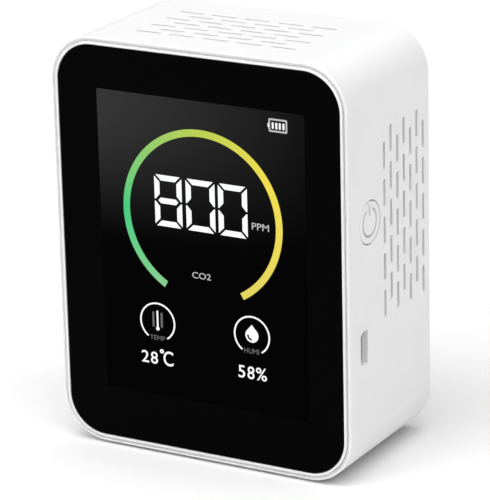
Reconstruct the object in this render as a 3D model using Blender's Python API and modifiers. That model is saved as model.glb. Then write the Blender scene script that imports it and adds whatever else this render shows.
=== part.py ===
"""Desk carbon dioxide monitor, modelled as the assembly that comes apart on a bench.

The frame: X to the right, Y towards the back, Z up. The origin is under the middle of the case,
on the surface that it stands on. Places behind the window are given as a depth, measured from the
window's front face, which is the frontmost face of the whole instrument.
"""

import math

import bmesh
import bpy
from mathutils import Vector

MM = 0.001

# Case
CASE_WIDTH = 70 * MM
CASE_HEIGHT = 90 * MM
CASE_DEPTH = 38.5 * MM
CASE_CORNER = 10 * MM
CASE_WALL = 1.8 * MM
CASE_BACK_ROUNDING = 2 * MM
BACK_STEPS = 3
RIM_DEPTH = 0.4 * MM
GROOVE_INSET = 0.45 * MM
GROOVE_DEPTH = 1.2 * MM
REBATE_INSET = 0.8 * MM
REBATE_DEPTH = 3.7 * MM
CORNER_STEPS = 8

# Window and the frame that carries it
WINDOW_INSET = 1.75 * MM
WINDOW_THICKNESS = 1.5 * MM
FRAME_INSET = 1.05 * MM
FRAME_FRONT = 0.15 * MM
FRAME_BACK = 3.4 * MM
RECESS_INSET = 1.6 * MM
SHELF_DEPTH = 1.8 * MM
ADHESIVE_FRONT = 1.55 * MM
ADHESIVE_BACK = 1.75 * MM
ADHESIVE_INSET = 1.95 * MM
OPENING_HALF_WIDTH = 27.1 * MM
OPENING_BOTTOM = 4.6 * MM
OPENING_TOP = 81.5 * MM
ADHESIVE_MARGIN = 0.4 * MM

# Display module
CELL_HALF_WIDTH = 26.3 * MM
CELL_BOTTOM = 6.6 * MM
CELL_TOP = 80.9 * MM
CELL_FRONT = 1.85 * MM
CELL_BACK = 2.85 * MM
BACKLIGHT_FRONT = 2.95 * MM
BACKLIGHT_BACK = 3.8 * MM
TRAY_FRONT = 2.0 * MM
TRAY_BACK = 4.1 * MM
TRAY_SHEET = 0.2 * MM
TRAY_CLEARANCE = 0.2 * MM
RIBBON_WIDTH = 24 * MM
RIBBON_THICKNESS = 0.2 * MM
RIBBON_START = 2.35 * MM
RIBBON_LOW = 5.4 * MM
RIBBON_DEPTH = 6.2 * MM
RIBBON_END = 11 * MM
RIBBON_FRONT_BEND = 0.9 * MM
RIBBON_BACK_BEND = 0.8 * MM
CONNECTOR_WIDTH = 27 * MM
CONNECTOR_BOTTOM = 9.6 * MM
CONNECTOR_TOP = 13.6 * MM
CONNECTOR_HEIGHT = 2.2 * MM
CONNECTOR_SLOT = 0.8 * MM
CONNECTOR_SLOT_LENGTH = 2 * MM

# Main board
BOARD_FRONT = 4.3 * MM
BOARD_BACK = 5.3 * MM
BOARD_HALF_WIDTH = 32.4 * MM
BOARD_BOTTOM = 6.2 * MM
BOARD_TOP = 85 * MM
BOARD_CORNER_X = 25.7 * MM
BOARD_CORNER_Z = 9.4 * MM
BOARD_NOTCH_X = 30.6 * MM
BOARD_NOTCH_HALF = 7 * MM
SOLDER_GAP = 0.1 * MM

# Screws and the bosses they go into
CASE_SCREW_X = 28.8 * MM
CASE_SCREW_Z = 6.2 * MM
CASE_BOSS_RADIUS = 2.5 * MM
CASE_BOSS_END = 12 * MM
CASE_PILOT_RADIUS = 1.3 * MM
CASE_PILOT_FLOOR = 4.6 * MM
POST_RADIUS = 3.2 * MM
POST_FRONT = 12.3 * MM
POST_SEAT = 14.3 * MM
POST_BORE_RADIUS = 2.5 * MM
POST_HOLE_RADIUS = 1.45 * MM
BOARD_SCREW_X = 29.8 * MM
BOARD_SCREW_Z = 14 * MM
BOARD_BOSS_RADIUS = 2.2 * MM
BOARD_BOSS_END = 4.2 * MM
BOARD_PILOT_RADIUS = 1.05 * MM
BOARD_PILOT_FLOOR = 2.2 * MM
SCREW_SIDES = 16
BOSS_SIDES = 20

# Vents: narrow upright slots in both sides, and slots along the width in the top
SLOT_LENGTH = 6 * MM
SLOT_WIDTH = 1 * MM
SLOT_PITCH = 8 * MM
SLOT_END_STEPS = 3
SIDE_COLUMNS = 7
SIDE_SLOTS = 5
SIDE_FIRST_DEPTH = 16.4 * MM
SIDE_COLUMN_PITCH = 2.97 * MM
SIDE_MIDDLE_Z = 51.55 * MM
SIDE_STAGGER = 3 * MM
TOP_ROWS = 7
TOP_SLOTS = 5
TOP_FIRST_DEPTH = 9.1 * MM
TOP_ROW_PITCH = 2.95 * MM

# Power button and its switch, in the right side
BUTTON_DEPTH = 9.8 * MM
BUTTON_Z = 55.1 * MM
BUTTON_RADIUS = 4.5 * MM
BUTTON_HOLE_RADIUS = 4.75 * MM
BUTTON_RECESS = 0.1 * MM
BUTTON_EDGE = 0.25 * MM
BUTTON_FLANGE_RADIUS = 5.4 * MM
BUTTON_FLANGE_OUTER = 2.1 * MM
BUTTON_FLANGE_INNER = 2.7 * MM
BUTTON_STEM_RADIUS = 1.5 * MM
BUTTON_STEM_END = 4.6 * MM
BUTTON_SIDES = 32
SWITCH_LEFT = 25.2 * MM
SWITCH_RIGHT = 28.4 * MM
SWITCH_HALF_WIDTH = 3 * MM
SWITCH_COVER_THICKNESS = 0.3 * MM
PLUNGER_RADIUS = 1.7 * MM
PLUNGER_HOLE_RADIUS = 2.05 * MM
PLUNGER_INNER = 27.4 * MM
PLUNGER_OUTER = 30.2 * MM
PLUNGER_POCKET = 26.9 * MM

# Micro-USB socket, its mouth in the right side
USB_DEPTH = 6.65 * MM
USB_Z = 28.8 * MM
USB_HOLE_WIDTH = 3.2 * MM
USB_HOLE_LENGTH = 7.35 * MM
USB_HOLE_CHAMFER = 0.9 * MM
USB_SHELL_WIDTH = 2.5 * MM
USB_SHELL_LENGTH = 7.05 * MM
USB_SHELL_CHAMFER = 0.75 * MM
USB_SHEET = 0.27 * MM
USB_BACK_X = 28.7 * MM
USB_MOUTH_X = 34.2 * MM
USB_TONGUE_LENGTH = 3.7 * MM
USB_TONGUE_THICKNESS = 0.6 * MM
USB_TONGUE_WIDTH = 4.2 * MM
USB_TONGUE_OFFSET = 0.35 * MM

# Infrared CO2 sensor module
SENSOR_X = -8 * MM
SENSOR_Z = 67 * MM
SENSOR_WIDTH = 33 * MM
SENSOR_HEIGHT = 20 * MM
SENSOR_FRONT = 8.2 * MM
SENSOR_BOARD_THICKNESS = 1 * MM
CHAMBER_WIDTH = 24.5 * MM
CHAMBER_HEIGHT = 17 * MM
CHAMBER_DEPTH = 8 * MM
CHAMBER_EDGE = 0.8 * MM
FILTER_RADIUS = 4.5 * MM
FILTER_THICKNESS = 0.4 * MM
HEADER_OFFSET = 14.8 * MM
HEADER_PITCH = 2.54 * MM
HEADER_WIDTH = 2.5 * MM
HEADER_PIN = 0.6 * MM
HEADER_PIN_END = 10.2 * MM
HEADER_HOLE_RADIUS = 0.7 * MM

# Battery, held to the back wall
BATTERY_WIDTH = 34 * MM
BATTERY_HEIGHT = 50 * MM
BATTERY_THICKNESS = 8 * MM
BATTERY_BOTTOM = 12 * MM
BATTERY_BACK = 35.9 * MM
BATTERY_EDGE = 1.6 * MM
PAD_THICKNESS = 0.6 * MM
PLUG_X = 17 * MM
PLUG_Z = 68 * MM
PLUG_WIDTH = 5.8 * MM
PLUG_HEIGHT = 4.2 * MM
PLUG_LENGTH = 5 * MM
SOCKET_WIDTH = 7.8 * MM
SOCKET_HEIGHT = 6.2 * MM
SOCKET_LENGTH = 6 * MM
SOCKET_FLOOR = 1 * MM
SOCKET_WALL = 0.7 * MM
LEAD_RADIUS = 0.6 * MM
LEAD_SPACING = 2 * MM
LEAD_STEPS = 14

# Small parts on the back of the board: x, z, width, height, how far they stand off the board
CHIP_EDGE = 0.12 * MM
MICROCONTROLLER = (-12 * MM, 36 * MM, 10 * MM, 10 * MM, 1.4 * MM)
CHARGER_CHIP = (21 * MM, 38 * MM, 4 * MM, 5 * MM, 1.5 * MM)
INDUCTOR = (13 * MM, 37 * MM, 6 * MM, 6 * MM, 3 * MM)
CRYSTAL = (-12 * MM, 47 * MM, 11 * MM, 4.6 * MM, 3.5 * MM)
HUMIDITY_SENSOR = (-27.5 * MM, 32 * MM, 4 * MM, 4 * MM, 1.2 * MM)
HUMIDITY_PORT_RADIUS = 0.9 * MM
CAPACITOR_PLACES = ((4 * MM, 47 * MM), (11 * MM, 47 * MM))
CAPACITOR_RADIUS = 2.5 * MM
CAPACITOR_LENGTH = 5.4 * MM
CAPACITOR_GROOVE = 0.3 * MM

FRONT_Y = -CASE_DEPTH / 2
RIGHT_X = CASE_WIDTH / 2
MIDDLE_Z = CASE_HEIGHT / 2
CUT_MARGIN = 1 * MM
MERGE = 0.00001

# Turns that carry a shape's own +Z to the named direction
TURN_TO = {
    "Z": (0, 0, 0),
    "X": (math.pi / 2, 0, math.pi / 2),
    "Y": (math.pi / 2, 0, 0),
}
AXIS_TO_BACK = (-math.pi / 2, 0, 0)
AXIS_TO_RIGHT = (0, math.pi / 2, 0)


def depth(value):
    """The Y of a place that lies so far behind the window's front face."""
    return FRONT_Y + value


def clear_scene():
    for old in list(bpy.data.objects):
        bpy.data.objects.remove(old, do_unlink=True)


def new_collection(name):
    collection = bpy.data.collections.new(name)
    bpy.context.scene.collection.children.link(collection)
    return collection


clear_scene()
PARTS = new_collection("carbon_dioxide_monitor")
CUTTERS = new_collection("cutters")


def material(name, color, roughness, metallic=0.0):
    made = bpy.data.materials.new(name)
    made.use_nodes = True
    shader = made.node_tree.nodes["Principled BSDF"]
    shader.inputs["Base Color"].default_value = (*color, 1)
    shader.inputs["Roughness"].default_value = roughness
    shader.inputs["Metallic"].default_value = metallic
    return made


WHITE_ABS = material("white_abs", (0.86, 0.86, 0.86), 0.45)
BLACK_ACRYLIC = material("black_acrylic", (0.01, 0.01, 0.01), 0.08)
ADHESIVE = material("adhesive", (0.05, 0.05, 0.05), 0.8)
DISPLAY_GLASS = material("display_glass", (0.02, 0.02, 0.03), 0.15)
DIFFUSER = material("diffuser", (0.8, 0.8, 0.78), 0.6)
TINNED_STEEL = material("tinned_steel", (0.6, 0.6, 0.6), 0.35, 1)
POLYIMIDE = material("polyimide", (0.55, 0.28, 0.05), 0.4)
BOARD_GREEN = material("board_green", (0.02, 0.16, 0.06), 0.5)
BLACK_MOULDING = material("black_moulding", (0.03, 0.03, 0.03), 0.5)
WHITE_NYLON = material("white_nylon", (0.75, 0.74, 0.7), 0.5)
GOLD_PLATE = material("gold_plate", (0.83, 0.62, 0.25), 0.3, 1)
FILTER_FELT = material("filter_felt", (0.85, 0.85, 0.83), 0.9)
FERRITE = material("ferrite", (0.12, 0.12, 0.12), 0.7)
BATTERY_FOIL = material("battery_foil", (0.65, 0.66, 0.68), 0.3, 1)
FOAM = material("foam", (0.1, 0.1, 0.1), 0.95)
RED_WIRE = material("red_wire", (0.6, 0.03, 0.02), 0.5)
BLACK_WIRE = material("black_wire", (0.02, 0.02, 0.02), 0.5)


# ---------------------------------------------------------------- building blocks

def add_part(name, mesh, finish, location=(0, 0, 0), rotation=(0, 0, 0)):
    part = bpy.data.objects.new(name, mesh)
    part.location = location
    part.rotation_euler = rotation
    if not mesh.materials:
        mesh.materials.append(finish)
    PARTS.objects.link(part)
    return part


def evaluated_mesh(thing):
    bpy.context.view_layer.update()
    graph = bpy.context.evaluated_depsgraph_get()
    return bpy.data.meshes.new_from_object(thing.evaluated_get(graph), depsgraph=graph)


def to_mesh(thing, close=True):
    """Turns a curve object, or one with modifiers, into a plain mesh object in the same place."""
    mesh = evaluated_mesh(thing)
    work = bmesh.new()
    work.from_mesh(mesh)
    bmesh.ops.remove_doubles(work, verts=work.verts, dist=MERGE)
    if close:
        bmesh.ops.recalc_face_normals(work, faces=work.faces)
    work.to_mesh(mesh)
    work.free()
    made = bpy.data.objects.new(thing.name, mesh)
    made.matrix_world = thing.matrix_world.copy()
    home = thing.users_collection[0]
    name = thing.name
    bpy.data.objects.remove(thing, do_unlink=True)
    made.name = name
    home.objects.link(made)
    return made


def prism(name, outlines, axis, start, end, centre=(0, 0), home=None):
    """A flat outline, or several, given thickness along one axis.

    The outline's two coordinates are X and Z for axis Y, Y and Z for axis X, X and Y for axis Z.
    """
    curve = bpy.data.curves.new(name, "CURVE")
    curve.dimensions = "2D"
    curve.fill_mode = "BOTH"
    curve.extrude = abs(end - start) / 2
    for outline in outlines:
        spline = curve.splines.new("POLY")
        spline.points.add(len(outline) - 1)
        spline.use_cyclic_u = True
        for point, (across, along) in zip(spline.points, outline):
            point.co = (across, along, 0, 1)
    middle = (start + end) / 2
    thing = bpy.data.objects.new(name, curve)
    thing.rotation_euler = TURN_TO[axis]
    thing.location = {
        "X": (middle, centre[0], centre[1]),
        "Y": (centre[0], middle, centre[1]),
        "Z": (centre[0], centre[1], middle),
    }[axis]
    (home or PARTS).objects.link(thing)
    bpy.context.view_layer.update()
    return to_mesh(thing)


def cylinder(name, radius, axis, start, end, centre, sides=BOSS_SIDES, home=None):
    angles = [2 * math.pi * (step + 0.5) / sides for step in range(sides)]
    outline = [(radius * math.cos(angle), radius * math.sin(angle)) for angle in angles]
    return prism(name, [outline], axis, start, end, centre, home)


def turned(name, profile, finish, location, rotation, sides):
    """A solid of revolution: radius and height pairs, from the top down its outer side."""
    mesh = bpy.data.meshes.new(name)
    work = bmesh.new()
    points = [work.verts.new((radius, 0, height)) for radius, height in profile]
    for first, second in zip(points, points[1:]):
        work.edges.new((first, second))
    work.to_mesh(mesh)
    work.free()
    part = add_part(name, mesh, finish, location, rotation)
    bpy.context.view_layer.update()
    screw = part.modifiers.new("turn", "SCREW")
    screw.axis = "Z"
    screw.angle = 2 * math.pi
    screw.steps = sides
    screw.render_steps = sides
    screw.use_merge_vertices = True
    screw.merge_threshold = MERGE
    return finish_as(to_mesh(part), finish)


def as_cutter(thing):
    for home in list(thing.users_collection):
        home.objects.unlink(thing)
    CUTTERS.objects.link(thing)
    thing.hide_render = True
    thing.display_type = "WIRE"
    return thing


def combine(part, other, operation):
    step = part.modifiers.new(other.name, "BOOLEAN")
    step.operation = operation
    step.solver = "EXACT"
    step.object = as_cutter(other)


def cut(part, *cutters):
    for cutter in cutters:
        combine(part, cutter, "DIFFERENCE")


def join(part, *additions):
    for addition in additions:
        combine(part, addition, "UNION")


def round_edges(part, width, steps=2, angle=math.radians(50)):
    bevel = part.modifiers.new("rounding", "BEVEL")
    bevel.width = width
    bevel.segments = steps
    bevel.limit_method = "ANGLE"
    bevel.angle_limit = angle


def finish_as(part, finish, smooth=True):
    part.data.materials.clear()
    part.data.materials.append(finish)
    if smooth:
        part.data.shade_smooth()
        part.data.set_sharp_from_angle(angle=math.radians(35))
    return part


# ---------------------------------------------------------------- outlines

def rectangle(left, right, bottom, top):
    return [(left, bottom), (right, bottom), (right, top), (left, top)]


def rounded_rectangle(half_width, half_height, radius, steps=CORNER_STEPS):
    outline = []
    for quarter, (side, level) in enumerate(((1, 1), (-1, 1), (-1, -1), (1, -1))):
        for step in range(steps + 1):
            angle = math.pi / 2 * (quarter + step / steps)
            outline.append((
                side * (half_width - radius) + radius * math.cos(angle),
                level * (half_height - radius) + radius * math.sin(angle),
            ))
    return outline


def case_outline(inset):
    """The case's outline seen from the front, drawn in by the inset, about its centre."""
    return rounded_rectangle(
        CASE_WIDTH / 2 - inset, CASE_HEIGHT / 2 - inset, CASE_CORNER - inset)


def upright_slot(across, along):
    """A slot with round ends, SLOT_LENGTH long along the second coordinate."""
    radius = SLOT_WIDTH / 2
    reach = SLOT_LENGTH / 2 - radius
    outline = []
    for end, turn in ((1, 0), (-1, math.pi)):
        for step in range(SLOT_END_STEPS + 1):
            angle = turn + math.pi * step / SLOT_END_STEPS
            outline.append((
                across + radius * math.cos(angle),
                along + end * reach + radius * math.sin(angle),
            ))
    return outline


def keyed_outline(width, length, chamfer):
    """The socket's D shape: its front side has two cut corners, its back side is square."""
    front = -width / 2
    back = width / 2
    reach = length / 2
    return [
        (front, reach - chamfer),
        (front, chamfer - reach),
        (front + chamfer, -reach),
        (back, -reach),
        (back, reach),
        (front + chamfer, reach),
    ]


# ---------------------------------------------------------------- case and window

def case_slab(name, inset, front, back):
    return prism(name, [case_outline(inset)], "Y", depth(front), depth(back), (0, MIDDLE_Z))


def case_screw_places():
    return [
        (side * CASE_SCREW_X, level)
        for side in (-1, 1)
        for level in (CASE_SCREW_Z, CASE_HEIGHT - CASE_SCREW_Z)
    ]


def board_screw_places():
    return [
        (side * BOARD_SCREW_X, level)
        for side in (-1, 1)
        for level in (BOARD_SCREW_Z, CASE_HEIGHT - BOARD_SCREW_Z)
    ]


def housing_shell():
    """The open-fronted case: a solid rounded round its back edge, then hollowed from the front."""
    shell = case_slab("rear_housing", 0, RIM_DEPTH, CASE_DEPTH)
    local_back = (shell.matrix_world.inverted() @ Vector((0, depth(CASE_DEPTH), 0))).z
    work = bmesh.new()
    work.from_mesh(shell.data)
    back_edges = [
        edge for edge in work.edges
        if all(abs(vertex.co.z - local_back) < MERGE for vertex in edge.verts)
        and edge.calc_face_angle() > 1
    ]
    bmesh.ops.bevel(
        work, geom=back_edges, offset=CASE_BACK_ROUNDING, offset_type="OFFSET",
        segments=BACK_STEPS, profile=0.5, affect="EDGES")
    work.to_mesh(shell.data)
    work.free()
    cut(
        shell,
        case_slab("cavity", CASE_WALL, -CUT_MARGIN, CASE_DEPTH - CASE_WALL),
        case_slab("rebate", REBATE_INSET, -2 * CUT_MARGIN, REBATE_DEPTH),
        case_slab("groove", GROOVE_INSET, -3 * CUT_MARGIN, GROOVE_DEPTH),
    )
    return finish_as(shell, WHITE_ABS)


def side_vents(name, start, end):
    outlines = []
    for column in range(SIDE_COLUMNS):
        across = depth(SIDE_FIRST_DEPTH + column * SIDE_COLUMN_PITCH)
        lift = SIDE_STAGGER if column % 2 else 0
        for slot in range(SIDE_SLOTS):
            along = SIDE_MIDDLE_Z + lift + (slot - (SIDE_SLOTS - 1) / 2) * SLOT_PITCH
            outlines.append(upright_slot(across, along))
    return prism(name, outlines, "X", start, end)


def top_vents():
    outlines = []
    for row in range(TOP_ROWS):
        back = depth(TOP_FIRST_DEPTH + row * TOP_ROW_PITCH)
        count = TOP_SLOTS - row % 2
        for slot in range(count):
            middle = (slot - (count - 1) / 2) * SLOT_PITCH
            outlines.append([(along, across) for across, along in upright_slot(back, middle)])
    start = CASE_HEIGHT - CASE_WALL - CUT_MARGIN
    return prism("top_vents", outlines, "Z", start, CASE_HEIGHT + CUT_MARGIN)


def rear_housing():
    housing = housing_shell()
    inner = RIGHT_X - CASE_WALL - CUT_MARGIN
    outer = RIGHT_X + CUT_MARGIN
    inside_back = depth(CASE_DEPTH - CASE_WALL / 2)
    for number, place in enumerate(case_screw_places(), 1):
        join(housing, cylinder(
            f"post_{number}", POST_RADIUS, "Y", depth(POST_FRONT), inside_back, place))
        cut(
            housing,
            cylinder(f"post_bore_{number}", POST_BORE_RADIUS, "Y",
                     depth(POST_SEAT), depth(CASE_DEPTH + CUT_MARGIN), place),
            cylinder(f"post_hole_{number}", POST_HOLE_RADIUS, "Y",
                     depth(POST_FRONT - CUT_MARGIN), depth(POST_SEAT + CUT_MARGIN), place),
        )
    cut(
        housing,
        side_vents("right_vents", inner, outer),
        side_vents("left_vents", -outer, -inner),
        top_vents(),
        cylinder("button_hole", BUTTON_HOLE_RADIUS, "X", inner, outer,
                 (depth(BUTTON_DEPTH), BUTTON_Z), BUTTON_SIDES),
        prism("usb_hole", [keyed_outline(USB_HOLE_WIDTH, USB_HOLE_LENGTH, USB_HOLE_CHAMFER)],
              "X", inner, outer, (depth(USB_DEPTH), USB_Z)),
    )
    return housing


def front_frame():
    frame = case_slab("front_frame", FRAME_INSET, FRAME_FRONT, FRAME_BACK)
    for number, place in enumerate(case_screw_places(), 1):
        join(frame, cylinder(f"case_boss_{number}", CASE_BOSS_RADIUS, "Y",
                             depth(FRAME_BACK - CUT_MARGIN), depth(CASE_BOSS_END), place))
    for number, place in enumerate(board_screw_places(), 1):
        join(frame, cylinder(f"board_boss_{number}", BOARD_BOSS_RADIUS, "Y",
                             depth(FRAME_BACK - CUT_MARGIN), depth(BOARD_BOSS_END), place))
    opening = rectangle(-OPENING_HALF_WIDTH, OPENING_HALF_WIDTH, OPENING_BOTTOM, OPENING_TOP)
    cut(
        frame,
        case_slab("window_recess", RECESS_INSET, -CUT_MARGIN, SHELF_DEPTH),
        prism("display_opening", [opening], "Y", depth(-CUT_MARGIN), depth(BOARD_BACK)),
    )
    for number, place in enumerate(case_screw_places(), 1):
        cut(frame, cylinder(f"case_pilot_{number}", CASE_PILOT_RADIUS, "Y",
                            depth(CASE_PILOT_FLOOR), depth(CASE_BOSS_END + CUT_MARGIN), place))
    for number, place in enumerate(board_screw_places(), 1):
        cut(frame, cylinder(f"board_pilot_{number}", BOARD_PILOT_RADIUS, "Y",
                            depth(BOARD_PILOT_FLOOR), depth(BOARD_BOSS_END + CUT_MARGIN), place))
    return finish_as(frame, WHITE_ABS)


def display_window():
    window = case_slab("display_window", WINDOW_INSET, 0, WINDOW_THICKNESS)
    return finish_as(window, BLACK_ACRYLIC)


def window_adhesive():
    outer = [(x, z + MIDDLE_Z) for x, z in case_outline(ADHESIVE_INSET)]
    reach = OPENING_HALF_WIDTH + ADHESIVE_MARGIN
    inner = rectangle(
        -reach, reach, OPENING_BOTTOM - ADHESIVE_MARGIN, OPENING_TOP + ADHESIVE_MARGIN)
    ring = prism(
        "window_adhesive", [outer, inner], "Y", depth(ADHESIVE_FRONT), depth(ADHESIVE_BACK))
    return finish_as(ring, ADHESIVE)


# ---------------------------------------------------------------- display module

def display_layer(name, front, back, finish):
    outline = rectangle(-CELL_HALF_WIDTH, CELL_HALF_WIDTH, CELL_BOTTOM, CELL_TOP)
    layer = prism(name, [outline], "Y", depth(front), depth(back))
    return finish_as(layer, finish, smooth=False)


def display_tray():
    reach = CELL_HALF_WIDTH + TRAY_CLEARANCE
    low = CELL_BOTTOM - TRAY_CLEARANCE
    high = CELL_TOP + TRAY_CLEARANCE
    outside = rectangle(
        -reach - TRAY_SHEET, reach + TRAY_SHEET, low - TRAY_SHEET, high + TRAY_SHEET)
    tray = prism("display_tray", [outside], "Y", depth(TRAY_FRONT), depth(TRAY_BACK))
    half_ribbon = RIBBON_WIDTH / 2 + CUT_MARGIN
    floor = TRAY_BACK - TRAY_SHEET
    inside = rectangle(-reach, reach, low, high)
    gate = rectangle(-half_ribbon, half_ribbon, low - CUT_MARGIN, low + CUT_MARGIN)
    cut(
        tray,
        prism("tray_inside", [inside], "Y", depth(TRAY_FRONT - CUT_MARGIN), depth(floor)),
        prism("tray_gate", [gate], "Y", depth(TRAY_FRONT - CUT_MARGIN), depth(floor)),
    )
    return finish_as(tray, TINNED_STEEL, smooth=False)


def quarter_turn(centre, radius, start, steps=4):
    return [
        (centre[0] + radius * math.cos(start + math.pi / 2 * step / steps),
         centre[1] + radius * math.sin(start + math.pi / 2 * step / steps))
        for step in range(steps + 1)
    ]


def display_ribbon():
    """The flat cable: out of the display's lower edge, under the board and up its back."""
    front_centre = (depth(RIBBON_START + RIBBON_FRONT_BEND), RIBBON_LOW + RIBBON_FRONT_BEND)
    back_centre = (depth(RIBBON_DEPTH - RIBBON_BACK_BEND), RIBBON_LOW + RIBBON_BACK_BEND)
    path = quarter_turn(front_centre, RIBBON_FRONT_BEND, math.pi)
    path += quarter_turn(back_centre, RIBBON_BACK_BEND, -math.pi / 2)
    path.append((depth(RIBBON_DEPTH), RIBBON_END))
    curve = bpy.data.curves.new("display_ribbon", "CURVE")
    curve.dimensions = "2D"
    curve.fill_mode = "NONE"
    curve.extrude = RIBBON_WIDTH / 2
    spline = curve.splines.new("POLY")
    spline.points.add(len(path) - 1)
    for point, (across, along) in zip(spline.points, path):
        point.co = (across, along, 0, 1)
    strip = bpy.data.objects.new("display_ribbon", curve)
    strip.rotation_euler = TURN_TO["X"]
    PARTS.objects.link(strip)
    bpy.context.view_layer.update()
    ribbon = to_mesh(strip, close=False)
    thickness = ribbon.modifiers.new("thickness", "SOLIDIFY")
    thickness.thickness = RIBBON_THICKNESS
    thickness.offset = 0
    return finish_as(ribbon, POLYIMIDE, smooth=False)


def display_connector():
    half = CONNECTOR_WIDTH / 2
    front = BOARD_BACK + SOLDER_GAP
    body = prism(
        "display_connector", [rectangle(-half, half, CONNECTOR_BOTTOM, CONNECTOR_TOP)],
        "Y", depth(front), depth(front + CONNECTOR_HEIGHT))
    reach = RIBBON_WIDTH / 2 + CUT_MARGIN / 2
    slot = rectangle(
        -reach, reach, CONNECTOR_BOTTOM - CUT_MARGIN, CONNECTOR_BOTTOM + CONNECTOR_SLOT_LENGTH)
    cut(body, prism("connector_slot", [slot], "Y", depth(RIBBON_DEPTH - CONNECTOR_SLOT / 2),
                    depth(RIBBON_DEPTH + CONNECTOR_SLOT / 2)))
    return finish_as(body, WHITE_NYLON, smooth=False)


# ---------------------------------------------------------------- board and screws

def main_board():
    """The board's corners step in around the case bosses, and its right edge behind the button."""
    edge = BOARD_HALF_WIDTH
    outer = edge + CUT_MARGIN
    outline = rectangle(-edge, edge, BOARD_BOTTOM, BOARD_TOP)
    board = prism("main_board", [outline], "Y", depth(BOARD_FRONT), depth(BOARD_BACK))
    steps = [
        rectangle(side * BOARD_CORNER_X, side * outer, *levels)
        for side in (-1, 1)
        for levels in (
            (0, BOARD_CORNER_Z),
            (CASE_HEIGHT - BOARD_CORNER_Z, CASE_HEIGHT),
        )
    ]
    steps.append(rectangle(
        BOARD_NOTCH_X, outer, BUTTON_Z - BOARD_NOTCH_HALF, BUTTON_Z + BOARD_NOTCH_HALF))
    cut(board, prism("board_steps", steps, "Y", depth(BOARD_FRONT - CUT_MARGIN),
                     depth(BOARD_BACK + CUT_MARGIN)))
    for number, place in enumerate(board_screw_places(), 1):
        cut(board, cylinder(f"board_hole_{number}", BOARD_PILOT_RADIUS, "Y",
                            depth(BOARD_FRONT - CUT_MARGIN), depth(BOARD_BACK + CUT_MARGIN),
                            place))
    return finish_as(board, BOARD_GREEN, smooth=False)


def cross_recess(name, reach, floor):
    """The two bars of a screw head's cross, on the screw's own axis."""
    half = reach / 4
    top = floor + 2 * CUT_MARGIN
    return [
        prism(f"{name}_{number}", [rectangle(-across, across, -along, along)], "Z", floor, top)
        for number, (across, along) in enumerate(((half, reach), (reach, half)), 1)
    ]


def screws(name, places, seat, head_radius, head_height, shank_radius, length):
    """One pan-head screw for each place, its head's seat at the given depth."""
    profile = [
        (0, head_height), (head_radius * 0.6, head_height), (head_radius * 0.9, head_height * 0.7),
        (head_radius, head_height * 0.3), (head_radius, 0), (shank_radius, 0),
        (shank_radius, -length * 0.85), (shank_radius * 0.3, -length), (0, -length),
    ]
    pattern = turned(f"{name}_pattern", profile, TINNED_STEEL, (0, 0, 0), (0, 0, 0), SCREW_SIDES)
    bars = cross_recess(f"{name}_cross", head_radius * 0.55, head_height * 0.45)
    cut(pattern, *bars)
    mesh = evaluated_mesh(pattern)
    mesh.name = name
    for used in (pattern, *bars):
        bpy.data.objects.remove(used, do_unlink=True)
    for number, (x, z) in enumerate(places, 1):
        add_part(f"{name}_{number}", mesh, TINNED_STEEL, (x, depth(seat), z), AXIS_TO_BACK)


def chip(name, size, finish, edge=CHIP_EDGE):
    """A moulded part on the back of the board, from its place and size."""
    x, z, width, height, stand = size
    outline = rectangle(-width / 2, width / 2, -height / 2, height / 2)
    front = BOARD_BACK + SOLDER_GAP
    body = prism(name, [outline], "Y", depth(front), depth(front + stand), (x, z))
    round_edges(body, edge, 1)
    return finish_as(body, finish, smooth=False)


def humidity_sensor():
    x, z, _, _, stand = HUMIDITY_SENSOR
    body = chip("humidity_sensor", HUMIDITY_SENSOR, BLACK_MOULDING)
    top = BOARD_BACK + SOLDER_GAP + stand
    cut(body, cylinder("humidity_port", HUMIDITY_PORT_RADIUS, "Y", depth(top - stand / 2),
                       depth(top + CUT_MARGIN), (x, z), 12))
    return body


def capacitors():
    profile = [
        (0, CAPACITOR_LENGTH), (CAPACITOR_RADIUS * 0.88, CAPACITOR_LENGTH),
        (CAPACITOR_RADIUS, CAPACITOR_LENGTH * 0.94), (CAPACITOR_RADIUS, CAPACITOR_LENGTH * 0.3),
        (CAPACITOR_RADIUS - CAPACITOR_GROOVE, CAPACITOR_LENGTH * 0.25),
        (CAPACITOR_RADIUS, CAPACITOR_LENGTH * 0.2), (CAPACITOR_RADIUS, 0), (0, 0),
    ]
    for number, (x, z) in enumerate(CAPACITOR_PLACES, 1):
        turned(f"capacitor_{number}", profile, BATTERY_FOIL,
               (x, depth(BOARD_BACK + SOLDER_GAP), z), AXIS_TO_BACK, SCREW_SIDES)


# ---------------------------------------------------------------- button and switch

def power_button():
    profile = [
        (0, 0), (BUTTON_RADIUS - BUTTON_EDGE, 0), (BUTTON_RADIUS, -BUTTON_EDGE),
        (BUTTON_RADIUS, -BUTTON_FLANGE_OUTER), (BUTTON_FLANGE_RADIUS, -BUTTON_FLANGE_OUTER),
        (BUTTON_FLANGE_RADIUS, -BUTTON_FLANGE_INNER), (BUTTON_STEM_RADIUS, -BUTTON_FLANGE_INNER),
        (BUTTON_STEM_RADIUS, -BUTTON_STEM_END), (0, -BUTTON_STEM_END),
    ]
    place = (RIGHT_X - BUTTON_RECESS, depth(BUTTON_DEPTH), BUTTON_Z)
    return turned("power_button", profile, WHITE_ABS, place, AXIS_TO_RIGHT, BUTTON_SIDES)


def switch_outline():
    return rectangle(
        depth(BOARD_BACK + SOLDER_GAP), depth(BUTTON_DEPTH + SWITCH_HALF_WIDTH),
        BUTTON_Z - SWITCH_HALF_WIDTH, BUTTON_Z + SWITCH_HALF_WIDTH)


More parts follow.
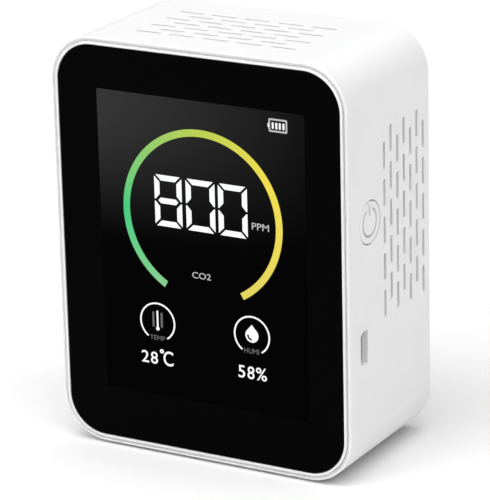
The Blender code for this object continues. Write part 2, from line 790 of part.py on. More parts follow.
def switch():
    axis = (depth(BUTTON_DEPTH), BUTTON_Z)
    cover_start = SWITCH_RIGHT + SOLDER_GAP
    cover_end = cover_start + SWITCH_COVER_THICKNESS
    body = prism("switch_body", [switch_outline()], "X", SWITCH_LEFT, SWITCH_RIGHT)
    cut(body, cylinder("plunger_pocket", PLUNGER_HOLE_RADIUS, "X", PLUNGER_POCKET,
                       SWITCH_RIGHT + CUT_MARGIN, axis))
    finish_as(body, BLACK_MOULDING)
    cover = prism("switch_cover", [switch_outline()], "X", cover_start, cover_end)
    cut(cover, cylinder("plunger_hole", PLUNGER_HOLE_RADIUS, "X", cover_start - CUT_MARGIN,
                        cover_end + CUT_MARGIN, axis))
    finish_as(cover, TINNED_STEEL)
    length = PLUNGER_OUTER - PLUNGER_INNER
    profile = [
        (0, 0), (PLUNGER_RADIUS - CHIP_EDGE, 0), (PLUNGER_RADIUS, -CHIP_EDGE),
        (PLUNGER_RADIUS, -length), (0, -length),
    ]
    turned("switch_plunger", profile, BLACK_MOULDING,
           (PLUNGER_OUTER, depth(BUTTON_DEPTH), BUTTON_Z), AXIS_TO_RIGHT, BOSS_SIDES)


# ---------------------------------------------------------------- micro-USB socket

def usb_socket():
    centre = (depth(USB_DEPTH), USB_Z)
    shell = prism(
        "usb_shell", [keyed_outline(USB_SHELL_WIDTH, USB_SHELL_LENGTH, USB_SHELL_CHAMFER)],
        "X", USB_BACK_X, USB_MOUTH_X, centre)
    inside = keyed_outline(
        USB_SHELL_WIDTH - 2 * USB_SHEET, USB_SHELL_LENGTH - 2 * USB_SHEET,
        USB_SHELL_CHAMFER - USB_SHEET / 2)
    cut(shell, prism("usb_inside", [inside], "X", USB_BACK_X + USB_SHEET,
                     USB_MOUTH_X + CUT_MARGIN, centre))
    finish_as(shell, TINNED_STEEL, smooth=False)
    start = USB_BACK_X + USB_SHEET + SOLDER_GAP
    half = USB_TONGUE_WIDTH / 2
    middle = USB_TONGUE_OFFSET
    outline = rectangle(
        middle - USB_TONGUE_THICKNESS / 2, middle + USB_TONGUE_THICKNESS / 2, -half, half)
    tongue = prism("usb_tongue", [outline], "X", start, start + USB_TONGUE_LENGTH, centre)
    finish_as(tongue, BLACK_MOULDING, smooth=False)


# ---------------------------------------------------------------- CO2 sensor module

def header_pins(count):
    return [(step - (count - 1) / 2) * HEADER_PITCH for step in range(count)]


def sensor_header(name, side, count):
    x = SENSOR_X + side * HEADER_OFFSET
    half = HEADER_WIDTH / 2
    reach = count * HEADER_PITCH / 2
    bar = prism(name, [rectangle(-half, half, -reach, reach)], "Y",
                depth(BOARD_BACK + SOLDER_GAP), depth(SENSOR_FRONT - SOLDER_GAP), (x, SENSOR_Z))
    pin = HEADER_PIN / 2
    pins = [rectangle(-pin, pin, place - pin, place + pin) for place in header_pins(count)]
    join(bar, prism(f"{name}_pins", pins, "Y", depth(SENSOR_FRONT - CUT_MARGIN),
                    depth(HEADER_PIN_END), (x, SENSOR_Z)))
    finish_as(bar, BLACK_MOULDING, smooth=False)


def co2_sensor():
    headers = ((-1, 5), (1, 4))
    half_width = SENSOR_WIDTH / 2
    half_height = SENSOR_HEIGHT / 2
    back = SENSOR_FRONT + SENSOR_BOARD_THICKNESS
    centre = (SENSOR_X, SENSOR_Z)
    board = prism(
        "co2_sensor_board", [rectangle(-half_width, half_width, -half_height, half_height)],
        "Y", depth(SENSOR_FRONT), depth(back), centre)
    for number, (side, count) in enumerate(headers, 1):
        sensor_header(f"co2_sensor_header_{number}", side, count)
        for pin, place in enumerate(header_pins(count), 1):
            hole = (SENSOR_X + side * HEADER_OFFSET, SENSOR_Z + place)
            cut(board, cylinder(
                f"pin_hole_{number}_{pin}", HEADER_HOLE_RADIUS, "Y",
                depth(SENSOR_FRONT - CUT_MARGIN), depth(back + CUT_MARGIN), hole, 8))
    finish_as(board, BOARD_GREEN, smooth=False)
    half_width = CHAMBER_WIDTH / 2
    half_height = CHAMBER_HEIGHT / 2
    start = back + SOLDER_GAP
    chamber = prism(
        "co2_sensor_chamber", [rectangle(-half_width, half_width, -half_height, half_height)],
        "Y", depth(start), depth(start + CHAMBER_DEPTH), centre)
    round_edges(chamber, CHAMBER_EDGE)
    finish_as(chamber, GOLD_PLATE)
    start += CHAMBER_DEPTH + SOLDER_GAP
    felt = cylinder("co2_sensor_filter", FILTER_RADIUS, "Y", depth(start),
                    depth(start + FILTER_THICKNESS), centre)
    finish_as(felt, FILTER_FELT)


# ---------------------------------------------------------------- battery

def battery():
    half = BATTERY_WIDTH / 2
    top = BATTERY_BOTTOM + BATTERY_HEIGHT
    outline = rectangle(-half, half, BATTERY_BOTTOM, top)
    front = BATTERY_BACK - BATTERY_THICKNESS
    pouch = prism("battery", [outline], "Y", depth(front), depth(BATTERY_BACK))
    round_edges(pouch, BATTERY_EDGE, 3)
    finish_as(pouch, BATTERY_FOIL)
    inset = BATTERY_EDGE * 2
    outline = rectangle(-half + inset, half - inset, BATTERY_BOTTOM + inset, top - inset)
    start = BATTERY_BACK + SOLDER_GAP
    pad = prism("battery_pad", [outline], "Y", depth(start), depth(start + PAD_THICKNESS))
    finish_as(pad, FOAM, smooth=False)


def battery_connector():
    """A shrouded header on the board, and the plug that stands in it."""
    front = BOARD_BACK + SOLDER_GAP
    wall = SOCKET_WALL
    half_width = SOCKET_WIDTH / 2
    half_height = SOCKET_HEIGHT / 2
    socket = prism(
        "battery_header", [rectangle(-half_width, half_width, -half_height, half_height)],
        "Y", depth(front), depth(front + SOCKET_LENGTH), (PLUG_X, PLUG_Z))
    inside = rectangle(
        wall - half_width, half_width - wall, wall - half_height, half_height - wall)
    cut(socket, prism("socket_inside", [inside], "Y", depth(front + SOCKET_FLOOR),
                      depth(front + SOCKET_LENGTH + CUT_MARGIN), (PLUG_X, PLUG_Z)))
    finish_as(socket, WHITE_NYLON, smooth=False)
    outline = rectangle(-PLUG_WIDTH / 2, PLUG_WIDTH / 2, -PLUG_HEIGHT / 2, PLUG_HEIGHT / 2)
    start = front + SOCKET_FLOOR + 2 * SOLDER_GAP
    plug = prism("battery_plug", [outline], "Y", depth(start), depth(start + PLUG_LENGTH),
                 (PLUG_X, PLUG_Z))
    round_edges(plug, CHIP_EDGE, 1)
    finish_as(plug, WHITE_NYLON, smooth=False)
    return start + PLUG_LENGTH


def smooth_path(ends, steps):
    """Points along a cubic curve between two ends, each a place and the way that it points."""
    (start, start_pull), (end, end_pull) = ends
    path = []
    for step in range(steps + 1):
        t = step / steps
        weights = ((1 - t) ** 3, 3 * t * (1 - t) ** 2, 3 * t * t * (1 - t), t ** 3)
        handles = (
            start,
            [place + pull for place, pull in zip(start, start_pull)],
            [place + pull for place, pull in zip(end, end_pull)],
            end,
        )
        path.append([
            sum(weight * handle[axis] for weight, handle in zip(weights, handles))
            for axis in range(3)
        ])
    return path


def battery_lead(name, side, plug_end, finish):
    """A wire from the battery's top edge, over to the plug and straight down into it."""
    shift = side * LEAD_SPACING / 2
    top = BATTERY_BOTTOM + BATTERY_HEIGHT
    gap = 3 * SOLDER_GAP
    start = (PLUG_X / 2 + shift * 2, depth(BATTERY_BACK - BATTERY_THICKNESS / 2), top + gap)
    end = (PLUG_X + shift, depth(plug_end + gap), PLUG_Z)
    pulls = ((0, 0, 10 * MM), (0, 14 * MM, 0))
    curve = bpy.data.curves.new(name, "CURVE")
    curve.dimensions = "3D"
    curve.bevel_depth = LEAD_RADIUS
    curve.bevel_resolution = 2
    curve.use_fill_caps = True
    spline = curve.splines.new("POLY")
    spline.points.add(LEAD_STEPS)
    for point, place in zip(spline.points, smooth_path(zip((start, end), pulls), LEAD_STEPS)):
        point.co = (*place, 1)
    curve.materials.append(finish)
    PARTS.objects.link(bpy.data.objects.new(name, curve))


# ---------------------------------------------------------------- assembly

rear_housing()
front_frame()
display_window()
window_adhesive()
display_layer("lcd_cell", CELL_FRONT, CELL_BACK, DISPLAY_GLASS)
display_layer("backlight", BACKLIGHT_FRONT, BACKLIGHT_BACK, DIFFUSER)
display_tray()
display_ribbon()
display_connector()
main_board()
screws("case_screw", case_screw_places(), POST_SEAT + SOLDER_GAP, 2 * MM, 1.6 * MM, 1.05 * MM,
       8.5 * MM)
screws("board_screw", board_screw_places(), BOARD_BACK + SOLDER_GAP, 1.7 * MM, 1.1 * MM,
       0.8 * MM, 2.9 * MM)
power_button()
switch()
usb_socket()
co2_sensor()
humidity_sensor()
chip("microcontroller", MICROCONTROLLER, BLACK_MOULDING)
chip("charger_chip", CHARGER_CHIP, BLACK_MOULDING)
chip("power_inductor", INDUCTOR, FERRITE, 0.6 * MM)
chip("crystal", CRYSTAL, TINNED_STEEL, 0.5 * MM)
capacitors()
battery()
LEAD_END = battery_connector()
battery_lead("battery_lead_red", 1, LEAD_END, RED_WIRE)
battery_lead("battery_lead_black", -1, LEAD_END, BLACK_WIRE)
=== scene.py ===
"""Looks of the desk carbon dioxide monitor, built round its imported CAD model.

The frame: X to the right, Y towards the back, Z up, metres. The origin is under the middle of the
case. Places behind the window are given as a depth from the front face of the window.
"""

import math

import bmesh
import bpy
from mathutils import Matrix, Vector


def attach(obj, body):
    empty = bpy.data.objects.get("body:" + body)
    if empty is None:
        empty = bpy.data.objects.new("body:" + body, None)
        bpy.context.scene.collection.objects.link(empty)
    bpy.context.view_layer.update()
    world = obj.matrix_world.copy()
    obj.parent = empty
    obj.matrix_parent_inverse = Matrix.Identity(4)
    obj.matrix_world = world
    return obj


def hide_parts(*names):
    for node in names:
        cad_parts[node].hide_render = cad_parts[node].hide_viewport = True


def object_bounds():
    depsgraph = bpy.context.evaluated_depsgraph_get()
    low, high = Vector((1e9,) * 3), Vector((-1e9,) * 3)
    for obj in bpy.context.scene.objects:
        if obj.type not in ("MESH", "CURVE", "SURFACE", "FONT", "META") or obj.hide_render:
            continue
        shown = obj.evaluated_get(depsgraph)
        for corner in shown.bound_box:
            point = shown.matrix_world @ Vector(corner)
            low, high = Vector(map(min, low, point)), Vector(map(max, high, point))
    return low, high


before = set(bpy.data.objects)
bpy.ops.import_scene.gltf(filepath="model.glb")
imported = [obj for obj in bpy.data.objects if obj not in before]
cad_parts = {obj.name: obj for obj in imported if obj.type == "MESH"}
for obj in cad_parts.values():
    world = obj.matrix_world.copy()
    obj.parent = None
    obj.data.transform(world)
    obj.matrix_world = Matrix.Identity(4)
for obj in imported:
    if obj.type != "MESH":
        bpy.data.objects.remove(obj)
CAD_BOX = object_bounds()

MM = 0.001
FRONT_Y = CAD_BOX[0].y
RIGHT_X = CAD_BOX[1].x
TOP_Z = CAD_BOX[1].z
BACK_DEPTH = CAD_BOX[1].y - CAD_BOX[0].y
MIDDLE_Z = TOP_Z / 2

# Case: the outline drawn in by an inset, at a depth. The groove is shallower than in the CAD
CASE_CORNER = 10 * MM
CASE_WALL = 1.8 * MM
BACK_ROUNDING = 2 * MM
RIM_DEPTH = 0.4 * MM
RIM_OUTER_EDGE = 0.3 * MM
RIM_INNER_EDGE = 0.12 * MM
GROOVE_INSET = 0.45 * MM
GROOVE_DEPTH = 0.75 * MM
REBATE_INSET = 0.95 * MM
REBATE_DEPTH = 3.7 * MM
INNER_ROUNDING = 0.6 * MM
CORNER_STEPS = 24

# Lip and window
LIP_INSET = 1.05 * MM
LIP_FRONT = 0.15 * MM
LIP_INNER_INSET = 1.6 * MM
LIP_EDGE = 0.14 * MM
FRAME_BACK = 3.4 * MM
SHELF_DEPTH = 1.8 * MM
OPENING_HALF_WIDTH = 27.1 * MM
OPENING_BOTTOM = 4.6 * MM
OPENING_TOP = 81.5 * MM
WINDOW_INSET = 1.75 * MM
WINDOW_FRONT = 0.1 * MM
WINDOW_BACK = 1.5 * MM
WINDOW_EDGE = 0.15 * MM

# Screw posts and bosses
CASE_SCREW_X = 28.8 * MM
CASE_SCREW_Z = 6.2 * MM
POST_RADIUS = 3.2 * MM
POST_FRONT = 12.3 * MM
POST_SEAT = 14.3 * MM
POST_BORE_RADIUS = 2.5 * MM
POST_HOLE_RADIUS = 1.45 * MM
BORE_EDGE = 0.3 * MM
CASE_BOSS_RADIUS = 2.5 * MM
CASE_BOSS_END = 12 * MM
CASE_PILOT_RADIUS = 1.3 * MM
CASE_PILOT_FLOOR = 4.6 * MM
BOARD_SCREW_X = 29.8 * MM
BOARD_SCREW_Z = 14 * MM
BOARD_BOSS_RADIUS = 2.2 * MM
BOARD_BOSS_END = 4.2 * MM
BOARD_PILOT_RADIUS = 1.05 * MM
BOARD_PILOT_FLOOR = 2.2 * MM

# Vents
SLOT_LENGTH = 6 * MM
SLOT_WIDTH = 1 * MM
SLOT_PITCH = 8 * MM
SLOT_EDGE = 0.12 * MM
SIDE_COLUMNS = 7
SIDE_SLOTS = 5
SIDE_FIRST_DEPTH = 16.4 * MM
SIDE_COLUMN_PITCH = 2.97 * MM
SIDE_MIDDLE_Z = 51.55 * MM
SIDE_STAGGER = 3 * MM
TOP_ROWS = 7
TOP_SLOTS = 5
TOP_FIRST_DEPTH = 9.1 * MM
TOP_ROW_PITCH = 2.95 * MM
SLOT_ROUNDING = 0.98
FLARE_STEPS = 4
FLARE_MOUTH = (1.15, 0.03)

# Power button
BUTTON_DEPTH = 9.8 * MM
BUTTON_Z = 55.1 * MM
BUTTON_RADIUS = 4.5 * MM
BUTTON_HOLE_RADIUS = 4.75 * MM
BUTTON_HOLE_EDGE = 0.12 * MM
BUTTON_RECESS = 0.1 * MM
BUTTON_EDGE = 0.15 * MM
BUTTON_FLANGE_RADIUS = 5.4 * MM
BUTTON_FLANGE_OUTER = 2.1 * MM
BUTTON_FLANGE_INNER = 2.7 * MM
BUTTON_STEM_RADIUS = 1.5 * MM
BUTTON_STEM_END = 4.6 * MM
BUTTON_AXIS_GAP = 0.3 * MM
SYMBOL_RADIUS = 2.95 * MM
SYMBOL_STROKE = 0.5 * MM
SYMBOL_GAP = math.radians(26)
SYMBOL_BAR = (1.4 * MM, 3.9 * MM)
SYMBOL_ROUNDING = 0.45
SYMBOL_CUT = 0.2 * MM
# Depth of the grey layer of painted shade at the floor of the engraved symbol
SYMBOL_SHADE_LAYER = 0.12 * MM

# Micro-USB socket
USB_DEPTH = 6.65 * MM
USB_Z = 28.8 * MM
USB_HOLE = (3.2 * MM, 7.35 * MM, 0.9 * MM)
USB_HOLE_EDGE = 0.12 * MM
USB_SHELL = (2.5 * MM, 7.05 * MM, 0.75 * MM)
USB_SHEET = 0.27 * MM
USB_BACK_X = 28.7 * MM
USB_MOUTH_X = 34.2 * MM
USB_TONGUE = (0.6 * MM, 4.2 * MM)
USB_TONGUE_OFFSET = 0.35 * MM
USB_TONGUE_START = 29.07 * MM
USB_TONGUE_END = 32.77 * MM
USB_CONTACTS = 5
USB_CONTACT_PITCH = 0.65 * MM
USB_CONTACT = (0.05 * MM, 0.17 * MM, 0.04 * MM)
USB_CONTACT_START = 0.05 * MM
USB_CONTACT_END = 0.3 * MM
USB_TONGUE_EDGE = 0.1 * MM
USB_TONGUE_TIP = 0.15 * MM
USB_EDGE = 0.35 * MM
USB_ROLL = 0.1 * MM
USB_HOLE_CORNER = 0.2 * MM

# Camera: where it looks, from which side, how far off and how long its lens is
CAMERA_TARGET = (0.53 * MM, -0.97 * MM, 41.68 * MM)
CAMERA_AZIMUTH = math.radians(29.84)
CAMERA_ELEVATION = math.radians(18.42)
CAMERA_ROLL = math.radians(-1.375)
CAMERA_DISTANCE = 0.6663
CAMERA_LENS = 225.35
CAMERA_SENSOR = 36
CAMERA_CLIP = (0.01, 30)


def depth(value):
    """The Y of a place that lies so far behind the window's front face."""
    return FRONT_Y + value


# ---------------------------------------------------------------- meshes

def new_piece(name, work):
    bmesh.ops.recalc_face_normals(work, faces=work.faces)
    mesh = bpy.data.meshes.new(name)
    work.to_mesh(mesh)
    work.free()
    piece = bpy.data.objects.new(name, mesh)
    bpy.context.scene.collection.objects.link(piece)
    return piece


def add_loft(work, rings, closed=False):
    """Joins rings of points with faces, and caps both ends unless the last ring meets the first."""
    loops = [[work.verts.new(point) for point in ring] for ring in rings]
    if closed:
        loops.append(loops[0])
    for first, second in zip(loops, loops[1:]):
        for index, corner in enumerate(first):
            follow = (index + 1) % len(first)
            work.faces.new((corner, first[follow], second[follow], second[index]))
    if not closed:
        work.faces.new(loops[0])
        work.faces.new(loops[-1])


def loft(name, rings, closed=False):
    work = bmesh.new()
    add_loft(work, rings, closed)
    return new_piece(name, work)


def lofts(name, bodies):
    """One piece of several separate bodies, each a list of rings."""
    work = bmesh.new()
    for rings in bodies:
        add_loft(work, rings)
    return new_piece(name, work)


def evaluated(piece):
    bpy.context.view_layer.update()
    graph = bpy.context.evaluated_depsgraph_get()
    return bpy.data.meshes.new_from_object(piece.evaluated_get(graph), depsgraph=graph)


def combine(piece, other, operation):
    step = piece.modifiers.new(operation, "BOOLEAN")
    step.operation = operation
    step.solver = "EXACT"
    step.object = other
    made = evaluated(piece)
    piece.modifiers.clear()
    piece.data = made
    bpy.data.objects.remove(other)


def smooth(piece, sharp_from=math.radians(32)):
    """Smooth shading whose normals follow the large faces, so that flat faces stay flat."""
    piece.data.shade_smooth()
    piece.data.set_sharp_from_angle(angle=sharp_from)
    weight = piece.modifiers.new("normals", "WEIGHTED_NORMAL")
    weight.keep_sharp = True
    return piece


# ---------------------------------------------------------------- outlines and sections

def arc(centre, radius, start, end, steps):
    return [
        (centre[0] + radius * math.cos(start + (end - start) * step / steps),
         centre[1] + radius * math.sin(start + (end - start) * step / steps))
        for step in range(steps + 1)
    ]


def circle(radius, sides=64):
    return arc((0, 0), radius, 0, 2 * math.pi, sides)[:-1]


def rounded_corner(before, corner, after, radius, steps):
    """The arc that takes a corner's place and touches both of its sides."""
    if radius == 0:
        return [corner]
    corner = Vector(corner)
    back = (Vector(before) - corner).normalized()
    ahead = (Vector(after) - corner).normalized()
    half = back.angle(ahead) / 2
    centre = corner + (back + ahead).normalized() * radius / math.sin(half)
    first = corner + back * radius / math.tan(half) - centre
    start = math.atan2(first.y, first.x)
    turn = math.pi - 2 * half
    if back.x * ahead.y - back.y * ahead.x > 0:
        turn = -turn
    return arc(centre, radius, start, start + turn, steps)


def rounded(corners, radii, steps, closed=True):
    """A polygon or an open path with its corners rounded, each to its own radius."""
    if not hasattr(radii, "__len__"):
        radii = [radii] * len(corners)
    path = []
    for index, corner in enumerate(corners):
        ends = index in (0, len(corners) - 1)
        if ends and not closed:
            path.append(corner)
            continue
        after = corners[(index + 1) % len(corners)]
        path += rounded_corner(corners[index - 1], corner, after, radii[index], steps)
    return path


def rectangle(left, right, low, high):
    return [(left, low), (right, low), (right, high), (left, high)]


def rounded_box(centre, half_width, half_height, radius, steps=6):
    x, z = centre
    corners = rectangle(x - half_width, x + half_width, z - half_height, z + half_height)
    return rounded(corners, radius, steps)


def case_outline(inset):
    """The case's outline from the front, drawn in by the inset."""
    return rounded_box(
        (0, MIDDLE_Z), RIGHT_X - inset, MIDDLE_Z - inset, CASE_CORNER - inset, CORNER_STEPS)


def case_rings(profile):
    return [[(x, depth(place), z) for x, z in case_outline(inset)] for inset, place in profile]


def slot_outline(grow):
    """A slot whose ends are almost half circles."""
    radius = SLOT_WIDTH / 2 + grow
    return rounded_box((0, 0), radius, SLOT_LENGTH / 2 + grow, SLOT_ROUNDING * radius, 5)


def keyed_outline(width, length, chamfer, grow, edge):
    """The socket's D shape: two cut corners at its front, drawn out by grow."""
    front = -width / 2 - grow
    back = width / 2 + grow
    reach = length / 2 + grow
    chamfer += grow * (2 - math.sqrt(2))
    corners = [
        (front, chamfer - reach), (front + chamfer, -reach), (back, -reach),
        (back, reach), (front + chamfer, reach), (front, reach - chamfer),
    ]
    return rounded(corners, edge + grow, 4)


def flare(edge, reach):
    """How far a cutter grows and how high it stands, from its rounded mouth down to its floor."""
    outward, above = FLARE_MOUTH
    sections = [(outward * edge, above * edge)]
    for step in range(1, FLARE_STEPS + 1):
        turn = math.pi / 2 * step / FLARE_STEPS
        sections.append((edge * (1 - math.sin(turn)), -edge * (1 - math.cos(turn))))
    return sections + [(0, -reach)]


def flared(outline, spot, place, edge, reach):
    """The rings of one cutter: outline(grow) about a spot on a face; place(u, v, height)."""
    return [
        [place(spot[0] + u, spot[1] + v, height) for u, v in outline(grow)]
        for grow, height in flare(edge, reach)
    ]


def on_right(u, v, height):
    return (RIGHT_X + height, u, v)


def on_left(u, v, height):
    return (-RIGHT_X - height, u, v)


def on_top(u, v, height):
    return (v, u, TOP_Z + height)


def on_back(u, v, height):
    return (u, depth(BACK_DEPTH) + height, v)


def straight(outline, place, low, high):
    """The rings of a plain prism between two heights."""
    return [[place(u, v, height) for u, v in outline] for height in (low, high)]


def band(centre, inner, outer, start, end, place, near, far, steps=96):
    """The rings of a flat curved band, from one angle to another."""
    rings = []
    for step in range(steps + 1):
        angle = start + (end - start) * step / steps
        ends = [
            (centre[0] + radius * math.cos(angle), centre[1] + radius * math.sin(angle))
            for radius in (inner, outer)
        ]
        rings.append([
            place(*ends[0], near), place(*ends[1], near), place(*ends[1], far),
            place(*ends[0], far),
        ])
    return rings


# ---------------------------------------------------------------- materials

NOISE_MIDDLE = (0.3, 0.7)


def mix_colors(tree, factor, first, second):
    """Mixes two colours. Inputs 6 and 7 and output 2 are the mix node's colour sockets."""
    mix = tree.nodes.new("ShaderNodeMix")
    mix.data_type = "RGBA"
    tree.links.new(factor, mix.inputs["Factor"])
    mix.inputs[6].default_value = (*first, 1)
    mix.inputs[7].default_value = (*second, 1)
    return mix.outputs[2]


def noise(tree, scale, detail=2.0):
    place = tree.nodes.new("ShaderNodeTexCoord")
    made = tree.nodes.new("ShaderNodeTexNoise")
    made.inputs["Scale"].default_value = scale
    made.inputs["Detail"].default_value = detail
    tree.links.new(place.outputs["Object"], made.inputs["Vector"])
    return made.outputs["Fac"]


def spread(tree, factor, low, high):
    """Maps a noise's middle range to low and high."""
    made = tree.nodes.new("ShaderNodeMapRange")
    tree.links.new(factor, made.inputs["Value"])
    made.inputs["From Min"].default_value, made.inputs["From Max"].default_value = NOISE_MIDDLE
    made.inputs["To Min"].default_value = low
    made.inputs["To Max"].default_value = high
    return made.outputs["Result"]


def bump(tree, shader, factor, strength, distance):
    made = tree.nodes.new("ShaderNodeBump")
    made.inputs["Strength"].default_value = strength
    made.inputs["Distance"].default_value = distance
    tree.links.new(factor, made.inputs["Height"])
    tree.links.new(made.outputs["Normal"], shader.inputs["Normal"])


def procedural(name, color, roughness, metallic=0.0, mottle=0.03, cloud=400, grain=3000,
               relief=0.1, relief_depth=0.01 * MM, specular=0.5):
    """A moulded, plated or printed surface: a clouded colour, an uneven gloss and a fine grain."""
    made = bpy.data.materials.new(name)
    made.use_nodes = True
    tree = made.node_tree
    shader = tree.nodes["Principled BSDF"]
    shader.inputs["Metallic"].default_value = metallic
    shader.inputs["Specular IOR Level"].default_value = specular
    clouds = spread(tree, noise(tree, cloud), 0, 1)
    darker = [value * (1 - mottle) for value in color]
    lighter = [min(1, value * (1 + mottle)) for value in color]
    tree.links.new(mix_colors(tree, clouds, darker, lighter), shader.inputs["Base Color"])
    fine = noise(tree, grain, 3)
    tree.links.new(spread(tree, fine, roughness * 0.9, roughness * 1.1),
                   shader.inputs["Roughness"])
    if relief:
        bump(tree, shader, fine, relief, relief_depth)
    return made


# ---------------------------------------------------------------- case

def vent_spots():
    """The middles of the side slots, the first coordinate along Y and the second along Z."""
    spots = []
    for column in range(SIDE_COLUMNS):
        lift = SIDE_STAGGER if column % 2 else 0
        for slot in range(SIDE_SLOTS):
            level = SIDE_MIDDLE_Z + lift + (slot - (SIDE_SLOTS - 1) / 2) * SLOT_PITCH
            spots.append((depth(SIDE_FIRST_DEPTH + column * SIDE_COLUMN_PITCH), level))
    return spots


def top_vent_spots():
    """The middles of the top slots, the first coordinate along Y and the second along X."""
    spots = []
    for row in range(TOP_ROWS):
        count = TOP_SLOTS - row % 2
        for slot in range(count):
            across = (slot - (count - 1) / 2) * SLOT_PITCH
            spots.append((depth(TOP_FIRST_DEPTH + row * TOP_ROW_PITCH), across))
    return spots


def case_screw_places():
    return [
        (side * CASE_SCREW_X, level)
        for side in (-1, 1)
        for level in (CASE_SCREW_Z, TOP_Z - CASE_SCREW_Z)
    ]


def board_screw_places():
    return [
        (side * BOARD_SCREW_X, level)
        for side in (-1, 1)
        for level in (BOARD_SCREW_Z, TOP_Z - BOARD_SCREW_Z)
    ]


def housing_profile():
    """Inset and depth from the middle of the inside, out over the rim, to the outside's back."""
    inside_back = BACK_DEPTH - CASE_WALL
    corners = [
        (CASE_WALL + 2 * INNER_ROUNDING, inside_back), (CASE_WALL, inside_back),
        (CASE_WALL, REBATE_DEPTH), (REBATE_INSET, REBATE_DEPTH),
        (REBATE_INSET, GROOVE_DEPTH), (GROOVE_INSET, GROOVE_DEPTH),
        (GROOVE_INSET, RIM_DEPTH), (0, RIM_DEPTH), (0, BACK_DEPTH),
        (2 * BACK_ROUNDING, BACK_DEPTH),
    ]
    radii = [0, INNER_ROUNDING, 0, 0, 0, 0, RIM_INNER_EDGE, RIM_OUTER_EDGE, BACK_ROUNDING, 0]
    return rounded(corners, radii, 8, closed=False)


def rear_housing(finish):
    housing = loft("rear_housing_shell", case_rings(housing_profile()))
    outer_bores = []
    holes = []
    for x, z in case_screw_places():
        disc = [(x + u, z + v) for u, v in circle(POST_RADIUS, 48)]
        post = straight(disc, on_back, POST_FRONT - BACK_DEPTH, -CASE_WALL / 2)
        combine(housing, loft("post", post), "UNION")
        outer_bores.append(flared(
            lambda grow: circle(POST_BORE_RADIUS + grow, 48), (x, z), on_back, BORE_EDGE,
            BACK_DEPTH - POST_SEAT))
        disc = [(x + u, z + v) for u, v in circle(POST_HOLE_RADIUS, 32)]
        holes.append(straight(disc, on_back, POST_FRONT - BACK_DEPTH - MM,
                              POST_SEAT - BACK_DEPTH + MM))
    combine(housing, lofts("bores", outer_bores), "DIFFERENCE")
    combine(housing, lofts("holes", holes), "DIFFERENCE")
    through = 2 * CASE_WALL
    vents = [flared(slot_outline, spot, on_right, SLOT_EDGE, through) for spot in vent_spots()]
    vents += [flared(slot_outline, spot, on_left, SLOT_EDGE, through) for spot in vent_spots()]
    vents += [flared(slot_outline, spot, on_top, SLOT_EDGE, through) for spot in top_vent_spots()]
    vents.append(flared(
        lambda grow: circle(BUTTON_HOLE_RADIUS + grow, 96), (depth(BUTTON_DEPTH), BUTTON_Z),
        on_right, BUTTON_HOLE_EDGE, through))
    vents.append(flared(
        lambda grow: keyed_outline(*USB_HOLE, grow, USB_HOLE_CORNER), (depth(USB_DEPTH), USB_Z),
        on_right, USB_HOLE_EDGE, through))
    combine(housing, lofts("vents", vents), "DIFFERENCE")
    housing.data.materials.append(finish)
    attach(smooth(housing), "case")
    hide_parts("rear_housing")


def front_frame(finish):
    """The plate behind the window, with its lip round the window's edge and its bosses."""
    corners = [
        (LIP_INSET, FRAME_BACK), (LIP_INSET, LIP_FRONT), (LIP_INNER_INSET, LIP_FRONT),
        (LIP_INNER_INSET, SHELF_DEPTH),
    ]
    profile = rounded(corners, [0, LIP_EDGE, LIP_EDGE, 0], 5, closed=False)
    lip = loft("front_frame_lip", case_rings(profile))

    def through(u, v, height):
        return (u, depth(height), v)

    bosses = [
        (case_screw_places(), CASE_BOSS_RADIUS, CASE_BOSS_END),
        (board_screw_places(), BOARD_BOSS_RADIUS, BOARD_BOSS_END),
    ]
    for places, radius, end in bosses:
        for x, z in places:
            disc = [(x + u, z + v) for u, v in circle(radius, 40)]
            start = FRAME_BACK - MM
            combine(lip, loft("boss", straight(disc, through, start, end)), "UNION")
    opening = rectangle(-OPENING_HALF_WIDTH, OPENING_HALF_WIDTH, OPENING_BOTTOM, OPENING_TOP)
    cutters = [straight(opening, through, -MM, FRAME_BACK + 2 * MM)]
    combine(lip, lofts("opening", cutters), "DIFFERENCE")
    holes = [
        (case_screw_places(), CASE_PILOT_RADIUS, CASE_PILOT_FLOOR, CASE_BOSS_END),
        (board_screw_places(), BOARD_PILOT_RADIUS, BOARD_PILOT_FLOOR, BOARD_BOSS_END),
    ]
    pilots = []
    for places, radius, floor, end in holes:
        for x, z in places:
            disc = [(x + u, z + v) for u, v in circle(radius, 32)]
            pilots.append(straight(disc, through, floor, end + MM))
    combine(lip, lofts("pilots", pilots), "DIFFERENCE")
    lip.data.materials.append(finish)
    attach(smooth(lip), "case")
    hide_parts("front_frame")


def display_window(finish):
    corners = [
        (WINDOW_INSET, WINDOW_BACK), (WINDOW_INSET, WINDOW_FRONT),
        (WINDOW_INSET + MM, WINDOW_FRONT),
    ]
    profile = rounded(corners, [0, WINDOW_EDGE, 0], 5, closed=False)
    window = loft("window_glass", case_rings(profile))
    window.data.materials.append(finish)
    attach(smooth(window), "case")
    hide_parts("display_window")


# ---------------------------------------------------------------- button and socket

